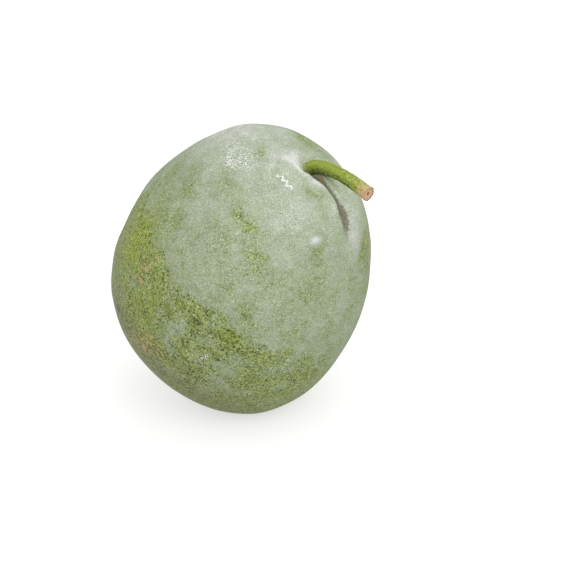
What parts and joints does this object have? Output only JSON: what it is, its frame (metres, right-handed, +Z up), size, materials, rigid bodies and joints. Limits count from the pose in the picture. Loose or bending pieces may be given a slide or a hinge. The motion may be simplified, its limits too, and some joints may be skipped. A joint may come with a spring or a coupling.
{
  "type": "white pumpkin",
  "caption": "Whole round white pumpkin, a wax gourd with waxy grey-green skin, resting on its settled side with its cut stem bent over the shoulder.",
  "frame": {"origin": "middle of the bottom of the box, on the surface that the fruit rests on", "axes": "+Z up, -Y towards the viewer's side that shows the furrow, +X towards the side that the stem bends over"},
  "size_m": [0.2062, 0.2018, 0.2291],
  "materials": {
    "skin": "waxy grey-green skin with a pale powdery bloom and greener bare patches",
    "stem": "yellow-green ridged stem with a dry tan cut end"
  },
  "bodies": {
    "root": {"fruit": "skin", "stem": "stem"}
  },
  "joints": []
}
